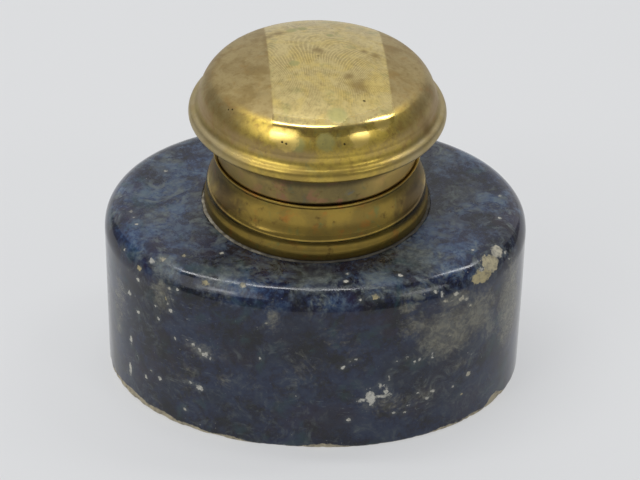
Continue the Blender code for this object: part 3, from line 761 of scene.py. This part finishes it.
def makeSkirtFinish():
    look = {
        "bright": (0.270, 0.205, 0.075), "dull": (0.185, 0.145, 0.066), "brown": (0.11, 0.075, 0.03),
        "green": (0.125, 0.15, 0.085), "rosy": (0.33, 0.155, 0.095), "blued": (0.13, 0.16, 0.175),
        "skirtSheen": (0.66, 0.46, 0.14), "shade": (0.045, 0.035, 0.02),
    }
    f = Finish("skirtBrass")
    colour, patch, fine, browned, dots = brassGround(f, look, 21.0, 3.5)[:5]
    rosy = f.between(f.noise(4.4, 31.0, 4.0, 0.6, 0.5), 0.52, 0.68)
    blued = f.between(f.noise(5.2, 33.0, 4.0, 0.6, 0.5), 0.54, 0.70)
    colour = f.mix(colour, look["rosy"], rosy * 0.7)
    colour = f.mix(colour, look["blued"], blued * 0.75)
    # painted sheen: the skirt's left and right ends lighter, where they reflect the bright room
    across = f.x + (patch - 0.5) * 8
    skirtSheen = (1 - f.between(across, -18.0, -6.0)) * 0.42 + f.between(across, 8.0, 18.0)
    colour = f.mix(colour, look["skirtSheen"], skirtSheen * 0.85)
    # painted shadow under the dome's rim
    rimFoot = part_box("lid_dome")[0].z / metre
    shaded = f.between(f.z + (patch - 0.5) * 0.9, rimFoot - 5.9, rimFoot - 4.2)
    colour = f.mix(colour, look["shade"], shaded * 0.75)
    height = fine * 0.4 + patch * 0.4 - dots * 0.5
    return f.wear(colour, 0.27 + patch * 0.16 + browned * 0.2, 1.0, f.relief(height, 0.02))


def makeCollarFinish():
    look = {
        "bright": (0.40, 0.275, 0.060), "dull": (0.30, 0.21, 0.055), "brown": (0.12, 0.075, 0.03),
        "green": (0.19, 0.24, 0.085), "orange": (0.48, 0.20, 0.045), "grime": (0.10, 0.08, 0.045),
        "shade": (0.10, 0.065, 0.03), "bead": 5.1,
    }
    f = Finish("collarBrass")
    colour, patch, fine, browned, dots = brassGround(f, look, 41.0, 3.2)[:5]
    orange = f.between(f.noise(3.7, 47.0, 4.0, 0.6, 0.4), 0.56, 0.70)
    colour = f.mix(colour, look["orange"], orange * 0.6)
    grime = 1 - f.between(f.z + (patch - 0.5) * 2.0, 44.1, 45.2)
    colour = f.mix(colour, look["grime"], grime * 0.7)
    # painted dark reflections on the front of the waist
    shaded = f.between(f.painted("browned") + (patch - 0.5) * 1.2, 0.0, 0.7)
    colour = f.mix(colour, look["shade"], shaded * 0.8)
    turning = f.maths("SINE", (f.z + fine * 0.3) * 14.0)
    height = fine * 0.35 + patch * 0.35 + turning * 0.05 - dots * 0.5
    footing = 1 - f.between(f.z, 48.0, 51.0)
    rough = 0.24 + patch * 0.16 + browned * 0.2 + grime * 0.25 + footing * 0.05
    # the bead is rubbed smooth
    bead = collarLow.z / metre + look["bead"]
    rubbed = f.between(f.z, bead - 0.9, bead - 0.3) * (1 - f.between(f.z, bead + 0.7, bead + 1.4))
    rough = f.between(rubbed, 0.0, 1.0, rough, 0.12 + patch * 0.10)
    return f.wear(colour, rough, 1.0, f.relief(height, 0.02))


def makeSleeveFinish():
    look = {"bright": (0.46, 0.36, 0.15), "dull": (0.30, 0.24, 0.11), "brown": (0.11, 0.075, 0.04),
            "green": (0.18, 0.24, 0.15)}
    f = Finish("sleeveBrass")
    colour, patch, fine = brassGround(f, look, 61.0, 3.0)[:3]
    return f.wear(colour, 0.42 + patch * 0.2, 1.0, f.relief(fine * 0.5 + patch * 0.3, 0.03))


def makeHingeFinish():
    look = {"bright": (0.62, 0.47, 0.18), "dull": (0.40, 0.31, 0.13), "brown": (0.12, 0.08, 0.04),
            "green": (0.24, 0.29, 0.15)}
    f = Finish("hingeBrass")
    colour, patch, fine, browned = brassGround(f, look, 81.0, 2.2)[:4]
    rough = 0.32 + patch * 0.2 + browned * 0.15
    return f.wear(colour, rough, 1.0, f.relief(fine * 0.5 + patch * 0.4, 0.03))


# Collar

collarBody = {
    "lipInner": 23.75, "lipOuter": 24.2, "inner": 22.6, "ledge": 56.8, "lipRound": 0.16, "steps": 320,
    "swell": 0.025,
    # radius and height above the collar's foot, from the hollow waist down over the bead to the foot
    "side": [
        (24.02, 12.6), (24.06, 11.0), (24.25, 9.6), (24.58, 8.2), (24.98, 7.1), (25.36, 6.3), (25.72, 5.7),
        (25.93, 5.1), (25.94, 4.5), (25.88, 3.95), (25.92, 3.4), (26.10, 2.8), (26.34, 2.2), (26.45, 1.5),
        (26.45, 0.7),
    ],
    # painted dark reflections on the waist: degrees round from the right, half width in degrees, height, half
    # height
    "shaded": [(-150, 22, 52, 5), (-25, 26, 51, 5)],
}


def smoothLine(points, steps):
    # A curve through every point
    path = np.array([points[0], *points, points[-1]], float)
    line = []
    for a, b, c, d in zip(path, path[1:], path[2:], path[3:]):
        for t in np.linspace(0, 1, steps, endpoint=False):
            line.append(tuple(0.5 * (2 * b + (c - a) * t + (2 * a - 5 * b + 4 * c - d) * t ** 2
                                     + (3 * b - a - 3 * c + d) * t ** 3)))
    return line + [tuple(path[-1])]


def makeCollar():
    s = collarBody
    bottom, top = collarLow.z / metre, collarHigh.z / metre
    profile = [(s["lipInner"], top, s["lipRound"]), (s["lipOuter"], top, s["lipRound"]),
               (s["lipOuter"], s["ledge"] + 0.2, 0.1)]
    profile += [(r, bottom + z, 0) for r, z in smoothLine(s["side"], 4)]
    profile += [(s["side"][-1][0], bottom, 0.15), (s["inner"], bottom, 0.1), (s["inner"], s["ledge"], 0.08),
                (s["lipInner"], s["ledge"], 0.05)]
    profile = spaced(rounded(profile), 0.6)
    piece, points = turnedPiece("collarBody", profile, makeCollarFinish(), s["steps"], True, s["swell"], 21)
    # painted dark reflections on the waist, kept as an attribute
    turn = np.degrees(np.arctan2(points[:, 1] - axisY, points[:, 0]))
    shaded = [1 - np.hypot((turn - place) / wide, (points[:, 2] - z) / tall)
              for place, wide, z, tall in s["shaded"]]
    paint(piece, "browned", np.maximum(np.max(shaded, axis=0), -1))
    standIn(piece, "base", "collar_brass", "collar_mount")


makeCollar()


# Sleeve

mouthSleeve = {"wall": 1.0, "inRound": 0.25, "outRound": 0.15, "steps": 200, "swell": 0.02}


def makeSleeve():
    s = mouthSleeve
    low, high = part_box("collar_sleeve")
    bottom, top = low.z / metre, high.z / metre
    outer = (high.x - low.x) / 2 / metre
    inner = outer - s["wall"]
    profile = spaced(rounded([
        (inner, top, s["inRound"]), (outer, top, s["outRound"]),
        (outer, bottom, s["outRound"]), (inner, bottom, s["inRound"]),
    ]), 1.5)
    piece = turnedPiece("mouthSleeve", profile, makeSleeveFinish(), s["steps"], True, s["swell"], 31)[0]
    standIn(piece, "base", "sleeve_brass", "collar_sleeve")


makeSleeve()


# Ink pot

inkPot = {
    "outer": 20.9, "wall": 2.2, "base": 3.2, "rim": 22.2, "rimHeight": 1.8, "middle": 0.8, "steps": 200,
    # outer and inner edge of the ring that it stands on, and how far it stands out
    "footOuter": 17.0, "footInner": 16.4, "footDepth": 0.7,
}


def makeGlazeFinish():
    look = {
        "glaze": (0.70, 0.68, 0.60), "paleGlaze": (0.80, 0.79, 0.73), "crackle": (0.42, 0.38, 0.30),
        "ink": (0.035, 0.045, 0.12), "driedInk": (0.02, 0.025, 0.07), "inkLevel": 20.0,
    }
    f = Finish("glazedPorcelain")
    cloud = f.noise(7.0, 1.0, 3.0)
    colour = f.ramp(cloud, [(0.3, look["glaze"]), (0.7, look["paleGlaze"])])
    inner = inkPot["outer"] - inkPot["wall"]
    inside = 1 - f.between(f.fromAxis(), inner + 0.2, inner + 0.7)
    level = f.z + (f.noise(3.0, 4.0, 4.0) - 0.5) * 5.0 - look["inkLevel"]
    inked = inside * (1 - f.between(level, -2.5, 1.0))
    ring = inside * f.between(level, -0.5, 0.6) * (1 - f.between(level, 0.6, 2.4))
    crackle = 1 - f.between(f.cells(3.4, 6.0, "DISTANCE_TO_EDGE"), 0.0, 0.018)
    colour = f.mix(colour, look["crackle"], crackle * 0.5)
    colour = f.mix(colour, look["ink"], inked * 0.85)
    colour = f.mix(colour, look["driedInk"], ring * 0.9)
    rough = 0.10 + f.noise(2.0, 8.0) * 0.08 + inked * 0.35
    return f.wear(colour, rough, normal=f.relief(f.noise(5.0, 9.0, 1.0) - crackle * 0.06, 0.05),
                  fixed={"Coat Weight": 0.6})


def makePot():
    s = inkPot
    low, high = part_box("ink_pot")
    bottom, top = low.z / metre, high.z / metre
    inner, floor, under = s["outer"] - s["wall"], bottom + s["base"], top - s["rimHeight"]
    raised = bottom + s["footDepth"]
    profile = rounded([
        (s["middle"], floor, 0), (inner, floor, 3.0), (inner, top, 0.7), (s["rim"], top, 0.7),
        (s["rim"], under, 0.35), (s["outer"], under, 0.1), (s["outer"], bottom, 2.2),
        (s["footOuter"], bottom, 0), (s["footInner"], raised, 0.3), (s["middle"], raised, 0),
    ], closed=False, steps=8)
    profile = spaced(profile, 1.0, closed=False)
    piece = turnedPiece("inkPot", profile, makeGlazeFinish(), s["steps"], False)[0]
    standIn(piece, "pot", "porcelain", "ink_pot")


makePot()


# Lid

lidDome = {
    "radius": 27.75, "power": 2.78, "wall": 0.9, "rimRound": 1.4, "shoulder": 0.885, "lip": 0.15,
    "steps": 320, "rowStep": 0.7, "swell": 0.03,
    # share of the radius, slope in degrees
    "crown": [
        (0, 0), (0.27, 6), (0.5, 12), (0.68, 16.5), (0.78, 19), (0.835, 22), (0.862, 27), (0.885, 42.5),
    ],
    # radius and height above the middle of the rim, from the flank down over the flare
    "flare": [
        (27.55, 4.0), (27.66, 3.3), (27.84, 2.7), (28.15, 2.15), (28.58, 1.75), (29.06, 1.45),
        (29.48, 1.08), (29.76, 0.5), (29.85, -0.2), (29.72, -0.8), (29.30, -1.25), (28.6, -1.4),
    ],
}
lidSkirt = {
    "inner": 22.65, "outer": 23.45, "flange": 26.55, "flangeWall": 0.8, "round": 0.15, "steps": 280,
    "swell": 0.03,
}


def crownPoints(radius, base, height, steps):
    # A gently crowned top that turns over a firm shoulder into an oval flank
    power, shoulder = lidDome["power"], lidDome["shoulder"]
    turn = np.radians(np.linspace(90, 0, steps + 1))[1:]
    flank = [(math.cos(a) ** (2 / power), base + height * abs(math.sin(a)) ** (2 / power)) for a in turn]
    flank = [(radius * share, z) for share, z in flank if share > shoulder]
    shares, slopes = zip(*lidDome["crown"])
    grid = np.linspace(shoulder, 0.02, steps)
    lean = np.tan(np.radians(np.interp(grid, shares, slopes)))
    lean = np.convolve(np.pad(lean, 3, "edge"), np.ones(7) / 7, "valid")
    rise = np.concatenate([[0], np.cumsum((lean[1:] + lean[:-1]) / 2 * (grid[:-1] - grid[1:]))]) * radius
    first = base + height * (1 - shoulder ** power) ** (1 / power)
    return [(radius * share, first + up) for share, up in zip(grid[::-1], rise[::-1])] + flank


def makeDome():
    s = lidDome
    low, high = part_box("lid_dome")
    base = low.z / metre + s["rimRound"]
    apex = high.z / metre
    mouth = s["radius"] - s["wall"]
    flareTop = base + s["flare"][0][1] + 0.3
    outer = [(r, z) for r, z in crownPoints(s["radius"], base, apex - base, 90) if z > flareTop]
    outer += [(r, base + z) for r, z in smoothLine(s["flare"], 4)]
    profile = outer + [(mouth + s["lip"], base - s["rimRound"]), (mouth, base - s["rimRound"] + s["lip"])]
    profile += crownPoints(mouth, base, apex - s["wall"] - base, 40)[::-1]
    profile = spaced(profile, s["rowStep"], closed=False)
    piece, points = turnedPiece("lidDome", profile, makeDomeFinish(), s["steps"], False, s["swell"], 41)
    # the outside ends a row before the mouth
    outerRows = len(spaced(outer, s["rowStep"], closed=False)) - 1
    paint(piece, "lining", np.arange(len(points)) >= outerRows * s["steps"])
    skin = points[(points[:, 2] > base) & (np.hypot(points[:, 0], points[:, 1] - axisY) > 0.5)]
    for name, marks in domeMarks.items():
        spots = [skin[np.argmin(((skin - mark[:3]) ** 2).sum(axis=1))] for mark in marks]
        field = markField(points, spots, [(mark[3], mark[3]) for mark in marks])[0]
        paint(piece, name, field)
    standIn(piece, "lid", "dome_brass", "lid_dome")


def makeSkirt():
    s = lidSkirt
    low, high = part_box("lid_skirt")
    bottom, top = low.z / metre, high.z / metre
    under, bend = top - s["flangeWall"], s["round"]
    profile = spaced(rounded([
        (s["inner"], top, bend), (s["flange"], top, bend), (s["flange"], under, bend),
        (s["outer"], under, 0.5), (s["outer"], bottom, 0.12), (s["inner"], bottom, 0.12),
    ]), 0.7)
    piece = turnedPiece("lidSkirt", profile, makeSkirtFinish(), s["steps"], True, s["swell"], 51)[0]
    standIn(piece, "lid", "skirt_brass", "lid_skirt")


makeDome()
makeSkirt()


# Hinge

hingeParts = {
    "half": 7.5, "corner": 1.1, "squareness": 7, "wall": 1.2, "barrel": 1.9, "bore": 1.0, "knuckle": 4.6,
    "gap": 0.3, "ease": 0.16, "pinRound": 0.3, "collarPad": 25.3, "lidPad": 23.75,  # the pads' inner radii
    "aroundPad": 88, "aroundBarrel": 44, "pinSteps": 6,
}


def joinShells(shells):
    points, faces, first = [], [], 0
    for shellPoints, shellFaces in shells:
        points.append(np.asarray(shellPoints))
        faces += [[first + index for index in face] for face in shellFaces]
        first += len(shellPoints)
    return np.vstack(points), faces


def padShell(inner, wall, low, high):
    # A plate bent round the brass axis, with rounded corners and eased edges
    s = hingeParts
    middle, tall = (low + high) / 2, (high - low) / 2
    turn = np.linspace(0, 2 * np.pi, s["aroundPad"], endpoint=False)
    c, n = np.cos(turn), np.sin(turn)
    power, ease = s["squareness"], s["ease"]
    reach = (np.abs(c) ** power + np.abs(n) ** power) ** (-1 / power)
    reach = reach * (1 - s["corner"] / min(s["half"], tall) * 0.25 * np.abs(n * c))
    x, z = reach * c * s["half"], reach * n * tall
    # share of the outline, how far in, how deep
    layers = [(share, 0.0, 0.0) for share in (0.12, 0.5, 0.85)]
    layers += [(1, ease, 0.0), (1, 0.0, ease), (1, 0.0, wall - ease * 2), (1, ease * 0.7, wall - ease * 0.6)]
    layers += [(1, ease * 2, wall), (0.85, ease * 2, wall), (0.5, 0.0, wall), (0.12, 0.0, wall)]
    rings = []
    for share, inset, depth in layers:
        px = x * share * (1 - inset / s["half"])
        pz = middle + z * share * (1 - inset / tall)
        radius = inner + depth
        rings.append(np.column_stack([px, axisY + np.sqrt(radius ** 2 - px ** 2), pz]))
    faces = ringFaces(len(rings), s["aroundPad"], False)
    return withEnds(np.vstack(rings), s["aroundPad"]), [face[::-1] for face in faces]


def barShell(profile, centre, closed):
    # A (radius, across) profile turned about the hinge line
    steps = hingeParts["aroundBarrel"]
    turn = np.arange(steps) * 2 * np.pi / steps
    r, x = np.array(profile).T
    rings = np.stack([x[:, None] + 0 * turn, centre[0] + r[:, None] * np.cos(turn),
                      centre[1] + r[:, None] * np.sin(turn)], axis=2)
    points = rings.reshape(-1, 3)
    if not closed:
        points = withEnds(points, steps)
    return points, [face[::-1] for face in ringFaces(len(profile), steps, closed)]


def knuckleShell(left, right, centre):
    s = hingeParts
    profile = rounded([(s["bore"], left, 0.05), (s["barrel"], left, 0.22), (s["barrel"], right, 0.22),
                       (s["bore"], right, 0.05)])
    return barShell(profile, centre, True)


def strapShell(outline, half):
    # A (back, height) outline carried across, with its ends eased
    flat = np.array(outline)
    middle = flat.mean(axis=0)
    size = np.linalg.norm(flat - middle, axis=1)[:, None]
    ease = hingeParts["ease"]
    rings = []
    for x, inset in ((-half, ease), (-half + ease, 0), (half - ease, 0), (half, ease)):
        loop = middle + (flat - middle) * (1 - inset / size)
        rings.append(np.column_stack([np.full(len(loop), x), loop]))
    faces = ringFaces(len(rings), len(flat), False)
    return withEnds(np.vstack(rings), len(flat)), [face[::-1] for face in faces]


def makeHinge():
    s = hingeParts
    finish = makeHingeFinish()
    padLow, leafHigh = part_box("collar_hinge_leaf")[0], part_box("lid_hinge_leaf")[1]
    pinLow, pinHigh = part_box("hinge_pin")
    back, up = (pinLow.y + pinHigh.y) / 2 / metre, (pinLow.z + pinHigh.z) / 2 / metre
    inside, outside = s["knuckle"] / 2, s["half"]

    # collar's leaf, with the two outer knuckles
    shells = [padShell(s["collarPad"], s["wall"], padLow.z / metre, up - s["gap"])]
    for left, right in ((-outside, -inside - s["gap"]), (inside + s["gap"], outside)):
        shells.append(knuckleShell(left, right, (back, up)))
    piece = addPiece("collarLeaf", *joinShells(shells), finish, 40)
    standIn(piece, "base", "hinge_brass", "collar_hinge_leaf")

    # lid's leaf, with a strap from its pad down to the middle knuckle
    low = up + s["barrel"] + 2 * s["gap"]
    near = axisY + s["lidPad"] + s["wall"] / 2
    strap = [
        (near, low + 0.3), (near + 0.6, low - 0.45), (back - 1.2, up + 1.2), (back, up + 1.3),
        (back + 0.5, up + 1.82), (back - 0.4, low + 0.35), (near + 1.2, low + 1.3), (near, low + 1.6),
    ]
    shells = [padShell(s["lidPad"], s["wall"], low, leafHigh.z / metre), strapShell(strap, inside),
              knuckleShell(-inside, inside, (back, up))]
    piece = addPiece("lidLeaf", *joinShells(shells), finish, 40)
    standIn(piece, "lid", "hinge_brass", "lid_hinge_leaf")

    # pin, with rounded ends
    radius = (pinHigh.z - pinLow.z) / 2 / metre
    left, right, bend = pinLow.x / metre, pinHigh.x / metre, s["pinRound"]
    turn = np.linspace(0, math.pi / 2, s["pinSteps"])
    profile = [(radius * 0.3, left)]
    profile += [(radius - bend * (1 - math.sin(a)), left + bend * (1 - math.cos(a))) for a in turn]
    profile += [(r, left + right - x) for r, x in profile[::-1]]
    piece = addPiece("hingePin", *barShell(profile, (back, up), False), finish, 40)
    standIn(piece, "base", "pin_brass", "hinge_pin")


makeHinge()


# Table, light and camera

studio = {
    "floorColour": (0.285, 0.288, 0.292),
    "floorGlow": 0.453,
    "floorHalf": 2600.0,
    "world": (0.25, 0.255, 0.265),
    # name: place, width, depth, all in metres, and brightness
    "lamps": {
        "stripLeft": ((-0.28, 0.12, 1.25), 0.88, 0.09, 13.0),
        "stripRight": ((0.70, 0.27, 1.20), 0.45, 0.10, 12.0),
        "bulbLeft": ((-0.60, -0.62, 0.80), 0.30, 0.20, 4.2),
        "bulbRight": ((0.72, -0.60, 0.80), 0.30, 0.20, 4.2),
        "backSky": ((0.0, 1.55, 1.45), 5.0, 3.7, 0.50),
        "windowLeft": ((-0.95, -0.70, 1.20), 1.3, 1.15, 1.25),
    },
    "aim": (0.0, 0.0, 0.05),
}

view = {"target": (1.125, 1.65, 31.33), "distance": 600.0, "elevation": 0.613, "roll": 0.018, "lens": 140.74}


def makeFloor():
    f = Finish("paleTable")
    tone = f.noise(180.0, 1.0, 2.0)
    r, g, b = studio["floorColour"]
    colour = f.ramp(tone, [(0.3, (r * 0.985, g * 0.985, b * 0.985)), (0.7, (r, g, b))])
    glow = tuple(c / max(r, g, b) for c in (r, g, b))
    f.wear(colour, 0.75, fixed={"Emission Color": glow, "Emission Strength": studio["floorGlow"]})
    span = studio["floorHalf"]
    points = [(-span, -span, 0), (span, -span, 0), (span, span, 0), (-span, span, 0)]
    addPiece("tableTop", points, [[0, 1, 2, 3]], f.material)


def makeLights():
    aim = Vector(studio["aim"])
    for name, (place, wide, deep, brightness) in studio["lamps"].items():
        data = bpy.data.lights.new(name, "AREA")
        data.shape = "RECTANGLE"
        data.size, data.size_y = wide, deep
        data.energy = brightness * math.pi * wide * deep
        lamp = bpy.data.objects.new(name, data)
        lamp.location = place
        away = (Vector(place) - aim).normalized()
        across = (Vector((1.0, 0.0, 0.0)) - away * away.x).normalized()
        lamp.rotation_euler = Matrix((across, away.cross(across), away)).transposed().to_euler()
        bpy.context.scene.collection.objects.link(lamp)
    world = bpy.data.worlds.new("studioWorld")
    world.use_nodes = True
    world.node_tree.nodes["Background"].inputs[0].default_value = (*studio["world"], 1.0)
    bpy.context.scene.world = world


def makeCamera():
    data = bpy.data.cameras.new("viewer")
    data.lens = view["lens"]
    data.sensor_width = 36.0
    data.clip_start = 0.01
    data.clip_end = 20.0
    camera = bpy.data.objects.new("viewer", data)
    lift, roll = view["elevation"], view["roll"]
    back = Vector((0.0, -math.cos(lift), math.sin(lift)))
    right = Vector((1.0, 0.0, 0.0))
    up = back.cross(right)
    across = right * math.cos(roll) + up * math.sin(roll)
    upward = up * math.cos(roll) - right * math.sin(roll)
    place = (Vector(view["target"]) + back * view["distance"]) * metre
    turn = Matrix((across, upward, back)).transposed()
    camera.matrix_world = Matrix.Translation(place) @ turn.to_4x4()
    bpy.context.scene.collection.objects.link(camera)
    bpy.context.scene.camera = camera
    bpy.context.scene.view_settings.view_transform = "Standard"
    bpy.context.scene.view_settings.look = "None"


makeFloor()
makeLights()
makeCamera()
print("studio ready")
